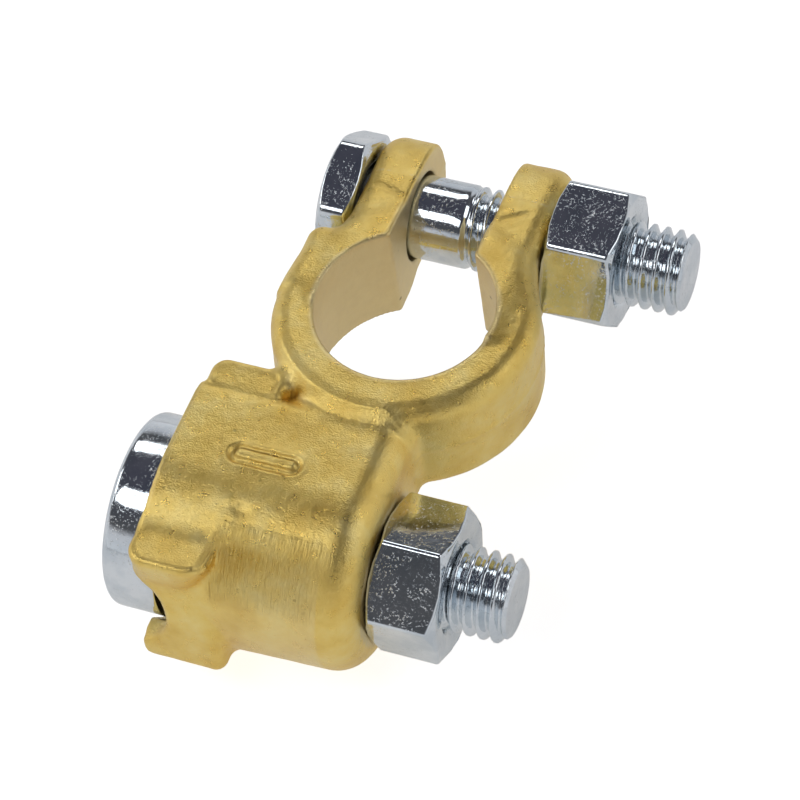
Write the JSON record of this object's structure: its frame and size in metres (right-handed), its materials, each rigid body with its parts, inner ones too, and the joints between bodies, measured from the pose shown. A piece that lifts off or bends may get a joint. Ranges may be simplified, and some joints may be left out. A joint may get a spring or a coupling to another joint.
{
  "type": "battery terminal clamp",
  "caption": "Split brass ring clamp with a tapered post bore, a bolt across its ears and a round cable barrel closed by a bolted pressure cap.",
  "frame": {"origin": "on the axis of the post bore at half the ring's height", "axes": "+Z along the post bore away from the battery; +X the way both bolt threads point; +Y from the cable barrel to the ears"},
  "size_m": [0.0407, 0.0526, 0.023],
  "materials": {
    "brass": "satin, as forged",
    "zinc_steel": "bright zinc plated"
  },
  "bodies": {
    "root": {"terminal_body": "brass"},
    "clamp_bolt_body": {"clamp_bolt": "zinc_steel"},
    "clamp_nut_body": {"clamp_nut": "zinc_steel"},
    "cable_bolt_body": {"cable_bolt": "zinc_steel"},
    "cable_nut_body": {"cable_nut": "zinc_steel"}
  },
  "joints": [
    {"name": "clamp_nut_turn", "type": "hinge", "parent": "root", "child": "clamp_nut_body", "pos_m": [0.0093, 0.01485, -0.00025], "axis": [1, 0, 0], "range_deg": [0, 1440]},
    {"name": "clamp_bolt_slide", "type": "slide", "parent": "root", "child": "clamp_bolt_body", "axis": [-1, 0, 0], "range_m": [-0.00002, 0.00502]},
    {"name": "cable_nut_turn", "type": "hinge", "parent": "root", "child": "cable_nut_body", "pos_m": [0.0048, -0.02, -0.00605], "axis": [-1, 0, 0], "range_deg": [-1440, 4320]},
    {"name": "cap_slide", "type": "slide", "parent": "root", "child": "cable_bolt_body", "axis": [1, 0, 0], "range_m": [-0.00502, 0.01502]}
  ],
  "couplings": [
    {"joint": "clamp_bolt_slide", "follows": "clamp_nut_turn", "m_per_rad": 0.00019894},
    {"joint": "cap_slide", "follows": "cable_nut_turn", "m_per_rad": 0.00019894}
  ]
}
